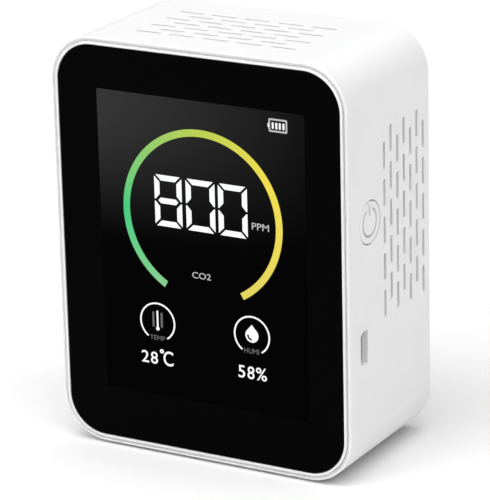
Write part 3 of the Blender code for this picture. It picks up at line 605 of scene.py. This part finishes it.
def power_button(finish, symbol_shade_finish):
    axis = (depth(BUTTON_DEPTH), BUTTON_Z)
    corners = [
        (BUTTON_AXIS_GAP, 0), (BUTTON_RADIUS, 0), (BUTTON_RADIUS, -BUTTON_FLANGE_OUTER),
        (BUTTON_FLANGE_RADIUS, -BUTTON_FLANGE_OUTER),
        (BUTTON_FLANGE_RADIUS, -BUTTON_FLANGE_INNER), (BUTTON_STEM_RADIUS, -BUTTON_FLANGE_INNER),
        (BUTTON_STEM_RADIUS, -BUTTON_STEM_END), (BUTTON_AXIS_GAP, -BUTTON_STEM_END),
    ]
    profile = rounded(corners, [0, BUTTON_EDGE, 0, 0, 0, 0, 0, 0], 6, closed=False)
    rings = [
        [on_right(axis[0] + u, axis[1] + v, height - BUTTON_RECESS)
         for u, v in circle(radius, 96)]
        for radius, height in profile
    ]
    button = loft("power_button_cap", rings)

    def on_button(u, v, height):
        return on_right(axis[0] + u, axis[1] + v, height - BUTTON_RECESS)

    button.data.materials.append(finish)
    combine(button, lofts("symbol", power_symbol(on_button, -SYMBOL_CUT, MM)), "DIFFERENCE")
    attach(smooth(button), "power_button")
    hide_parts("power_button")
    # A grey layer at the floor of the engraved symbol: painted shade in the engraving
    symbol = lofts("power_symbol", power_symbol(
        on_button, -SYMBOL_CUT - SYMBOL_SHADE_LAYER, -SYMBOL_SHADE_LAYER))
    symbol.data.materials.append(symbol_shade_finish)
    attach(symbol, "power_button")


def power_symbol(place, low, high):
    ring = band((0, 0), SYMBOL_RADIUS - SYMBOL_STROKE / 2, SYMBOL_RADIUS + SYMBOL_STROKE / 2,
                math.pi / 2 + SYMBOL_GAP, 5 * math.pi / 2 - SYMBOL_GAP, place, low, high)
    start, end = SYMBOL_BAR
    bar = rounded_box((0, (start + end) / 2), SYMBOL_STROKE / 2, (end - start) / 2,
                      SYMBOL_ROUNDING * SYMBOL_STROKE)
    return [ring, straight(bar, place, low, high)]


def usb_socket(metal, moulding, gold):
    def across(u, v, x):
        return (x, depth(USB_DEPTH) + u, USB_Z + v)

    width, length, chamfer = USB_SHELL
    outside = keyed_outline(width, length, chamfer, 0, USB_EDGE)
    inside = keyed_outline(width, length, chamfer, -USB_SHEET, USB_EDGE)
    lip = USB_SHEET / 2
    rolled = keyed_outline(width, length, chamfer, -lip, USB_EDGE)
    shell = loft("usb_socket_shell", [
        [across(u, v, USB_BACK_X) for u, v in outside],
        [across(u, v, USB_MOUTH_X - USB_ROLL) for u, v in outside],
        [across(u, v, USB_MOUTH_X) for u, v in rolled],
        [across(u, v, USB_MOUTH_X - USB_ROLL) for u, v in inside],
        [across(u, v, USB_BACK_X + USB_SHEET) for u, v in inside],
    ])
    shell.data.materials.append(metal)
    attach(smooth(shell), "case")
    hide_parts("usb_shell")
    thickness, tongue_width = USB_TONGUE
    middle = (USB_TONGUE_OFFSET, 0)
    low = USB_TONGUE_START
    high = USB_TONGUE_END
    full = rounded_box(middle, thickness / 2, tongue_width / 2, USB_TONGUE_EDGE, 3)
    slim = rounded_box(middle, thickness / 2 - USB_TONGUE_EDGE,
                       tongue_width / 2 - USB_TONGUE_EDGE, USB_TONGUE_EDGE / 2, 3)
    tongue = loft("usb_socket_tongue", [
        [across(u, v, low) for u, v in full],
        [across(u, v, high - USB_TONGUE_TIP) for u, v in full],
        [across(u, v, high) for u, v in slim],
    ])
    tongue.data.materials.append(moulding)
    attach(smooth(tongue), "case")
    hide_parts("usb_tongue")
    strips = []
    for number in range(USB_CONTACTS):
        level = (number - (USB_CONTACTS - 1) / 2) * USB_CONTACT_PITCH
        face = USB_TONGUE_OFFSET - thickness / 2
        strip = rounded_box((face, level), *USB_CONTACT, 2)
        strips.append(straight(
            strip, across, low + USB_CONTACT_START, high - USB_CONTACT_END))
    contacts = lofts("usb_socket_contacts", strips)
    contacts.data.materials.append(gold)
    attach(smooth(contacts), "case")


# ---------------------------------------------------------------- display picture

# Places on the display are from the middle of the case's front, in millimetres
PANEL = (-23.75, 25.4, -31.9, 34.2)
PANEL_FRONT = 0.06 * MM
PANEL_BACK = 0.3 * MM
# The dark panel's colour, and the lighter colour of a painted sheen at its upper left, which keeps a
# share of it at the right
PANEL_DARK = (0.0004, 0.0004, 0.0004)
PANEL_SHEEN = (0.036, 0.036, 0.036)
PANEL_SHEEN_RIGHT_SHARE = 0.15
INK_FRONT = 0.01 * MM
INK_BACK = 0.2 * MM
GAUGE_CENTRE = (0.93, 9.15)
GAUGE_RADII = (17.45, 19.0)
GAUGE_SPAN = (math.radians(-60), math.radians(240))
DIGIT_LOW = 6.15
DIGIT_HIGH = 17.3
DIGITS = (("8", -10.35, -3.8), ("0", -2.8, 4.1), ("0", 4.9, 11.75))
SEGMENT = 1.22
SEGMENT_GAP = 0.52
SEGMENTS_OF = {"8": "ABCDEFG", "0": "ABCDEF"}
ICON_RADIUS = 4.3
ICON_STROKE = 0.36
ICON_SPAN = (math.radians(-57), math.radians(235))
VALUE_WEIGHT = 0.006
UNIT_LABEL = (12.75, 16.75, 8.4, 9.85)
GAS_LABEL = (-1.8, 2.65, -4.25, -2.9)

TEMPERATURE_CENTRE = (-10.66, -15.42)
STEM_RADIUS = 0.2
STEM_RISE = 2.35
BULB_RADIUS = 0.42
BULB_DROP = 1.5
SCALE_BAR = (0.24, 1.7, 0.22)
SCALE_BAR_SHIFT = (1.02, 0.5)
TEMPERATURE_LABEL = (-12.65, -8.95, -19.5, -18.5)
TEMPERATURE_VALUE = (
    ("2", (-14.88, -13.12, -24.95, -22.3)),
    ("8", (-12.62, -10.92, -25.0, -22.3)),
    ("C", (-9.48, -7.1, -25.0, -21.7)),
)
DEGREE_CENTRE = (-9.85, -21.9)
DEGREE_RADII = (0.16, 0.48)

HUMIDITY_CENTRE = (12.16, -14.88)
DROP_RADIUS = 1.55
DROP_TIP = 2.35
GLINT_RADII = (0.72, 1.18)
GLINT_SPAN = (math.radians(175), math.radians(268))
HUMIDITY_LABEL = (10.25, 13.75, -18.9, -17.8)
HUMIDITY_VALUE = (
    ("5", (8.72, 10.3, -24.6, -21.85)),
    ("8", (10.9, 12.55, -24.6, -21.8)),
    ("%", (12.95, 15.5, -24.6, -21.75)),
)

# Battery icon: half width, half height and corner of its outline, of a cell and of its cap
BATTERY_CENTRE = (19.32, 31.27)
BATTERY_OUTER = (2.15, 1.42, 0.3)
BATTERY_INNER = (1.8, 1.05, 0.15)
BATTERY_CELL = (0.22, 0.68, 0.1)
BATTERY_CAP = (0.15, 0.45, 0.08)
BATTERY_CELLS_X = (18.15, 18.97, 19.77, 20.6)
BATTERY_CAP_X = 17.12
BATTERY_CELLS_Z = 31.2


def on_display(u, v, place):
    """A point of the display picture, u and v in millimetres from the front's middle."""
    return (u * MM, depth(place), MIDDLE_Z + v * MM)


def inlay(outline):
    return straight(outline, on_display, INK_BACK, INK_FRONT)


def show(piece, finish):
    piece.data.materials.append(finish)
    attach(piece, "case")
    return piece


def mirrored(outline, across, up):
    return [(across * x, up * z) for x, z in outline]


def segment_outlines(half_width, half_height):
    """The seven bars of a digit about its own middle, by their usual letters."""
    bar = SEGMENT
    slip = SEGMENT_GAP / math.sqrt(2)
    rest = SEGMENT_GAP / 2
    wide = half_width
    high = half_height
    level = [
        (slip - wide, high), (wide - slip, high), (wide - bar - slip, high - bar),
        (bar + slip - wide, high - bar),
    ]
    upright = [
        (-wide, high - slip), (bar - wide, high - bar - slip),
        (bar - wide, bar / 2 + 2 * slip), (bar / 2 - wide - slip, SEGMENT_GAP / 2),
        (-wide, SEGMENT_GAP / 2),
    ]
    middle = [
        (rest + bar / 2 - wide, 0), (rest + bar - wide, bar / 2), (wide - bar - rest, bar / 2),
        (wide - bar / 2 - rest, 0), (wide - bar - rest, -bar / 2), (rest + bar - wide, -bar / 2),
    ]
    return {
        "A": level, "B": mirrored(upright, -1, 1), "C": mirrored(upright, -1, -1),
        "D": mirrored(level, 1, -1), "E": mirrored(upright, 1, -1), "F": upright, "G": middle,
    }


def reading(finish):
    middle = (DIGIT_LOW + DIGIT_HIGH) / 2
    for number, (digit, left, right) in enumerate(DIGITS, 1):
        outlines = segment_outlines((right - left) / 2, (DIGIT_HIGH - DIGIT_LOW) / 2)
        bars = [
            inlay([(x + (left + right) / 2, z + middle) for x, z in outlines[letter]])
            for letter in SEGMENTS_OF[digit]
        ]
        show(lofts(f"reading_digit_{number}", bars), finish)


def lettering(name, text, box, finish, weight=0.0):
    """Text drawn into a box: left, right, low and high, with its strokes thickened by weight."""
    curve = bpy.data.curves.new(name, "FONT")
    curve.body = text
    curve.extrude = 1
    curve.offset = weight
    source = bpy.data.objects.new(name, curve)
    bpy.context.scene.collection.objects.link(source)
    mesh = evaluated(source)
    bpy.data.objects.remove(source)
    work = bmesh.new()
    work.from_mesh(mesh)
    bmesh.ops.remove_doubles(work, verts=work.verts, dist=0.0001)
    lows = [min(vertex.co[axis] for vertex in work.verts) for axis in range(3)]
    highs = [max(vertex.co[axis] for vertex in work.verts) for axis in range(3)]
    left, right, low, high = box
    for vertex in work.verts:
        share = [(vertex.co[axis] - lows[axis]) / (highs[axis] - lows[axis]) for axis in range(3)]
        place = INK_BACK + (INK_FRONT - INK_BACK) * share[2]
        vertex.co = on_display(
            left + (right - left) * share[0], low + (high - low) * share[1], place)
    return show(new_piece(name, work), finish)


def gauge(finish):
    rings = band(GAUGE_CENTRE, *GAUGE_RADII, *GAUGE_SPAN, on_display, INK_BACK, INK_FRONT, 150)
    show(loft("gauge_arc", rings), finish)


def icon_ring(name, centre, finish):
    rings = band(centre, ICON_RADIUS - ICON_STROKE, ICON_RADIUS, *ICON_SPAN, on_display,
                 INK_BACK, INK_FRONT)
    show(loft(name, rings), finish)


def value(name, parts, finish):
    """A reading beside an icon, one piece for each character."""
    for number, (text, box) in enumerate(parts, 1):
        lettering(f"{name}_{number}", text, box, finish, VALUE_WEIGHT)


def hollow(inner, outer):
    """The rings of a flat frame between two outlines."""
    return [
        [on_display(u, v, place) for u, v in outline]
        for outline, place in (
            (outer, INK_BACK), (outer, INK_FRONT), (inner, INK_FRONT), (inner, INK_BACK))
    ]


def temperature_icon(white, grey):
    x, z = TEMPERATURE_CENTRE
    icon_ring("temperature_ring", TEMPERATURE_CENTRE, white)
    neck = math.asin(STEM_RADIUS / BULB_RADIUS)
    outline = arc((x, z + STEM_RISE), STEM_RADIUS, 0, math.pi, 8)
    outline += arc((x, z - BULB_DROP), BULB_RADIUS, math.pi / 2 + neck, 5 * math.pi / 2 - neck, 20)
    show(loft("temperature_bulb", inlay(outline)), white)
    across, up = SCALE_BAR_SHIFT
    bars = [
        inlay(rounded_box((x + side * across, z + up), *SCALE_BAR))
        for side in (-1, 1)
    ]
    show(lofts("temperature_scale", bars), grey)
    lettering("temperature_label", "TEMP", TEMPERATURE_LABEL, grey)
    value("temperature_value", TEMPERATURE_VALUE, white)
    x, z = DEGREE_CENTRE
    inner, outer = [[(x + u, z + v) for u, v in circle(radius, 24)] for radius in DEGREE_RADII]
    show(loft("temperature_degree", hollow(inner, outer), closed=True), white)


def humidity_icon(white, grey):
    x, z = HUMIDITY_CENTRE
    icon_ring("humidity_ring", HUMIDITY_CENTRE, white)
    touch = math.acos(DROP_RADIUS / DROP_TIP)
    outline = [(x, z + DROP_TIP)]
    outline += arc((x, z), DROP_RADIUS, math.pi / 2 + touch, 5 * math.pi / 2 - touch, 32)
    drop = loft("humidity_drop", inlay(outline))
    glint = band((x, z), *GLINT_RADII, *GLINT_SPAN, on_display, 2 * INK_BACK, -INK_BACK, 16)
    combine(drop, loft("glint", glint), "DIFFERENCE")
    show(drop, white)
    lettering("humidity_label", "HUMI", HUMIDITY_LABEL, grey)
    value("humidity_value", HUMIDITY_VALUE, white)


def battery_icon(white, grey):
    inner = rounded_box(BATTERY_CENTRE, *BATTERY_INNER)
    outer = rounded_box(BATTERY_CENTRE, *BATTERY_OUTER)
    show(loft("battery_outline", hollow(inner, outer), closed=True), grey)
    cells = [
        inlay(rounded_box((x, BATTERY_CELLS_Z), *BATTERY_CELL)) for x in BATTERY_CELLS_X
    ]
    cells.append(inlay(rounded_box((BATTERY_CAP_X, BATTERY_CELLS_Z), *BATTERY_CAP)))
    show(lofts("battery_cells", cells), white)


def panel(finish):
    left, right, low, high = PANEL
    rings = straight(rectangle(left, right, low, high), on_display, PANEL_BACK, PANEL_FRONT)
    show(loft("display_panel", rings), finish)


def lit(name, color, strength):
    """A surface that gives its own even light, over a dark and slightly mottled colour."""
    made = procedural(name, [0.05 * value for value in color], 0.25, mottle=0.1, grain=6000,
                      relief=0, specular=0.1)
    shader = made.node_tree.nodes["Principled BSDF"]
    shader.inputs["Emission Color"].default_value = (*color, 1)
    shader.inputs["Emission Strength"].default_value = strength
    return made


def srgb(*values):
    """The linear colour of an sRGB one, 0 to 255."""
    return [((value / 255 + 0.055) / 1.055) ** 2.4 if value > 10 else value / 255 / 12.92
            for value in values]


def subtract(tree, value, amount):
    made = tree.nodes.new("ShaderNodeMath")
    made.operation = "SUBTRACT"
    tree.links.new(value, made.inputs[0])
    made.inputs[1].default_value = amount
    return made.outputs[0]


def gauge_finish():
    """Five colours from green to yellow, by the angle round the gauge from its low end."""
    made = procedural("gauge_light", (0.01, 0.01, 0.01), 0.25, mottle=0.1, relief=0, specular=0.1)
    tree = made.node_tree
    shader = tree.nodes["Principled BSDF"]
    place = tree.nodes.new("ShaderNodeTexCoord")
    axes = tree.nodes.new("ShaderNodeSeparateXYZ")
    tree.links.new(place.outputs["Object"], axes.inputs[0])
    turn = tree.nodes.new("ShaderNodeMath")
    turn.operation = "ARCTAN2"
    x, z = GAUGE_CENTRE
    tree.links.new(subtract(tree, axes.outputs["X"], x * MM), turn.inputs[0])
    tree.links.new(subtract(tree, axes.outputs["Z"], MIDDLE_Z + z * MM), turn.inputs[1])
    share = tree.nodes.new("ShaderNodeMapRange")
    tree.links.new(turn.outputs[0], share.inputs["Value"])
    half = (GAUGE_SPAN[1] - GAUGE_SPAN[0]) / 2
    share.inputs["From Min"].default_value = -half
    share.inputs["From Max"].default_value = half
    ramp = tree.nodes.new("ShaderNodeValToRGB")
    tree.links.new(share.outputs["Result"], ramp.inputs[0])
    green = srgb(60, 200, 125)
    pale_green = srgb(130, 205, 140)
    lime = srgb(185, 205, 75)
    yellow = srgb(240, 220, 70)
    pale_yellow = srgb(225, 210, 90)
    stops = ((0, pale_green), (0.2, green), (0.5, lime), (0.7, yellow), (1, pale_yellow))
    while len(ramp.color_ramp.elements) < len(stops):
        ramp.color_ramp.elements.new(0.5)
    for element, (position, color) in zip(ramp.color_ramp.elements, stops):
        element.position = position
        element.color = (*color, 1)
    tree.links.new(ramp.outputs["Color"], shader.inputs["Emission Color"])
    shader.inputs["Emission Strength"].default_value = 1
    return made


def panel_finish():
    """The dark panel behind the picture, with a painted sheen that makes it lighter towards its upper
    left.
    """
    made = procedural("display_dark", (0.002, 0.002, 0.002), 0.08, relief=0, specular=0.01)
    tree = made.node_tree
    shader = tree.nodes["Principled BSDF"]
    place = tree.nodes.new("ShaderNodeTexCoord")
    axes = tree.nodes.new("ShaderNodeSeparateXYZ")
    tree.links.new(place.outputs["Object"], axes.inputs[0])
    left, right, _, high = PANEL
    across = tree.nodes.new("ShaderNodeMapRange")
    tree.links.new(axes.outputs["X"], across.inputs["Value"])
    across.inputs["From Min"].default_value = right * MM
    across.inputs["From Max"].default_value = left * MM
    across.inputs["To Min"].default_value = PANEL_SHEEN_RIGHT_SHARE
    up = tree.nodes.new("ShaderNodeMapRange")
    up.interpolation_type = "SMOOTHSTEP"
    tree.links.new(axes.outputs["Z"], up.inputs["Value"])
    up.inputs["From Min"].default_value = MIDDLE_Z - MM
    up.inputs["From Max"].default_value = MIDDLE_Z + high * MM
    # Painted sheen: strongest at the upper left, fading downwards and to the right
    painted_sheen = tree.nodes.new("ShaderNodeMath")
    painted_sheen.operation = "MULTIPLY"
    tree.links.new(across.outputs["Result"], painted_sheen.inputs[0])
    tree.links.new(up.outputs["Result"], painted_sheen.inputs[1])
    color = mix_colors(tree, painted_sheen.outputs[0], PANEL_DARK, PANEL_SHEEN)
    tree.links.new(color, shader.inputs["Base Color"])
    return made


# ---------------------------------------------------------------- everything inside

def finish_inner_parts(finishes):
    """Gives each CAD node that stays its procedural finish."""
    groups = {
        "adhesive": ["window_adhesive"],
        "display_glass": ["lcd_cell"],
        "diffuser": ["backlight"],
        "tinned_steel": ["display_tray", "switch_cover", "crystal"],
        "polyimide": ["display_ribbon"],
        "nylon_white": ["display_connector", "battery_header", "battery_plug"],
        "board_green": ["main_board", "co2_sensor_board"],
        "moulding_black": [
            "switch_body", "switch_plunger", "co2_sensor_header_1", "co2_sensor_header_2",
            "humidity_sensor", "microcontroller", "charger_chip",
        ],
        "gold_plate": ["co2_sensor_chamber"],
        "filter_felt": ["co2_sensor_filter"],
        "ferrite": ["power_inductor"],
        "aluminium_can": ["capacitor_1", "capacitor_2"],
        "battery_foil": ["battery"],
        "foam_black": ["battery_pad"],
        "wire_red": ["battery_lead_red"],
        "wire_black": ["battery_lead_black"],
    }
    groups["tinned_steel"] += [
        f"{kind}_screw_{number}" for kind in ("case", "board") for number in range(1, 5)
    ]
    for slot, names in groups.items():
        for name in names:
            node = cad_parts[name]
            node.data.materials.clear()
            node.data.materials.append(finishes[slot])


def inner_finishes():
    return {
        "adhesive": procedural("adhesive_foam", (0.05, 0.05, 0.05), 0.8, relief=0.4),
        "display_glass": procedural("cell_glass", (0.02, 0.02, 0.03), 0.12, relief=0),
        "diffuser": procedural("diffuser_sheet", (0.8, 0.8, 0.78), 0.6),
        "tinned_steel": procedural("tin_plate", (0.62, 0.62, 0.61), 0.3, 1, mottle=0.06),
        "polyimide": procedural("polyimide_film", (0.55, 0.28, 0.05), 0.35, mottle=0.08),
        "nylon_white": procedural("nylon", (0.75, 0.74, 0.7), 0.5),
        "board_green": procedural("solder_mask", (0.02, 0.16, 0.06), 0.35, mottle=0.15),
        "moulding_black": procedural("black_moulding", (0.03, 0.03, 0.03), 0.5, relief=0.3),
        "gold_plate": procedural("gold", (0.83, 0.62, 0.25), 0.28, 1, mottle=0.05),
        "filter_felt": procedural("felt", (0.85, 0.85, 0.83), 0.95, mottle=0.08, relief=0.8,
                                  relief_depth=0.05 * MM),
        "ferrite": procedural("ferrite_core", (0.12, 0.12, 0.12), 0.7, relief=0.4),
        "aluminium_can": procedural("can", (0.75, 0.75, 0.76), 0.3, 1),
        "battery_foil": procedural("pouch_foil", (0.65, 0.66, 0.68), 0.32, 1, mottle=0.05,
                                   grain=900, relief=0.3),
        "foam_black": procedural("foam", (0.1, 0.1, 0.1), 0.95, relief=0.8,
                                 relief_depth=0.05 * MM),
        "wire_red": procedural("red_sleeve", (0.6, 0.03, 0.02), 0.45),
        "wire_black": procedural("black_sleeve", (0.02, 0.02, 0.02), 0.45),
    }


# ---------------------------------------------------------------- studio

# Soft lights at a great distance: azimuth as for the camera, elevation, strength
LIGHTS = ((-35, 45, 1.25), (0, 60, 0.7), (0, 88, 1.16), (75, 55, 1.12), (180, 60, 0.15))
SURROUND = 0.12
STAGE_REACH = 4
LIGHT_SPREAD = math.radians(50)
FLOOR_DROP = 0.6 * MM


def direction(azimuth, elevation):
    """Towards a place seen at an azimuth, 0 in front of the object and 90 to its right."""
    level = math.cos(elevation)
    return Vector((level * math.sin(azimuth), -level * math.cos(azimuth), math.sin(elevation)))


def lamps():
    for azimuth, elevation, strength in LIGHTS:
        data = bpy.data.lights.new("lamp", "SUN")
        data.energy = strength
        data.angle = LIGHT_SPREAD
        lamp = bpy.data.objects.new("lamp", data)
        bpy.context.scene.collection.objects.link(lamp)
        towards = direction(math.radians(azimuth), math.radians(elevation))
        lamp.rotation_euler = towards.to_track_quat("Z", "Y").to_euler()


def surround():
    world = bpy.data.worlds.new("studio")
    world.use_nodes = True
    background = world.node_tree.nodes["Background"]
    background.inputs["Color"].default_value = (1, 1, 1, 1)
    background.inputs["Strength"].default_value = SURROUND
    bpy.context.scene.world = world


def backdrop(name, work, finish):
    made = new_piece(name, work)
    made.data.materials.append(finish)
    return made


def floor():
    work = bmesh.new()
    bmesh.ops.create_grid(work, x_segments=1, y_segments=1, size=STAGE_REACH)
    paper = procedural("paper", (0.86, 0.86, 0.86), 0.8, mottle=0, relief=0, specular=0.1)
    backdrop("floor", work, paper).location.z = -FLOOR_DROP


def sky():
    """A white sheet all round, far off: no diffuse or glossy ray meets it, and it casts no shadow."""
    work = bmesh.new()
    bmesh.ops.create_icosphere(work, subdivisions=4, radius=STAGE_REACH)
    finish = lit("white_sheet", (1, 1, 1), 1.0)
    made = backdrop("sky", work, finish)
    made.visible_diffuse = False
    made.visible_glossy = False
    made.visible_shadow = False


def studio():
    bpy.context.scene.view_settings.view_transform = "Standard"
    lamps()
    surround()
    floor()
    sky()


def camera():
    data = bpy.data.cameras.new("camera")
    data.sensor_width = CAMERA_SENSOR
    data.lens = CAMERA_LENS
    data.clip_start, data.clip_end = CAMERA_CLIP
    made = bpy.data.objects.new("camera", data)
    bpy.context.scene.collection.objects.link(made)
    away = direction(CAMERA_AZIMUTH, CAMERA_ELEVATION)
    turn = away.to_track_quat("Z", "Y") @ Matrix.Rotation(CAMERA_ROLL, 3, "Z").to_quaternion()
    made.location = Vector(CAMERA_TARGET) + away * CAMERA_DISTANCE
    made.rotation_mode = "QUATERNION"
    made.rotation_quaternion = turn
    bpy.context.scene.camera = made


def main():
    camera()
    studio()
    abs_white = procedural("abs_white", (0.86, 0.86, 0.86), 0.42, mottle=0.006, cloud=120,
                           grain=5000, relief=0.05)
    finishes = inner_finishes()
    white_light = lit("white_light", (0.95, 0.96, 0.97), 1.0)
    pale_light = lit("pale_light", (0.5, 0.5, 0.5), 1.0)
    grey_light = lit("grey_light", (0.13, 0.13, 0.13), 1.0)
    rear_housing(abs_white)
    front_frame(abs_white)
    display_window(procedural("window_black", (0.0005, 0.0005, 0.0005), 0.06, relief=0,
                              mottle=0.1, specular=0.02))
    # The button's second finish is a grey painted shade for its engraved power symbol
    power_button(abs_white, procedural("symbol_painted_shade", (0.42, 0.42, 0.42), 0.5, relief=0.1))
    usb_socket(procedural("socket_steel", (0.75, 0.75, 0.74), 0.55, 0.2, mottle=0.05),
               procedural("socket_moulding", (0.4, 0.4, 0.4), 0.6), finishes["gold_plate"])
    panel(panel_finish())
    gauge(gauge_finish())
    reading(white_light)
    lettering("unit_label", "PPM", UNIT_LABEL, pale_light)
    lettering("gas_label", "CO2", GAS_LABEL, pale_light)
    temperature_icon(white_light, grey_light)
    humidity_icon(white_light, grey_light)
    battery_icon(white_light, pale_light)
    finish_inner_parts(finishes)


main()
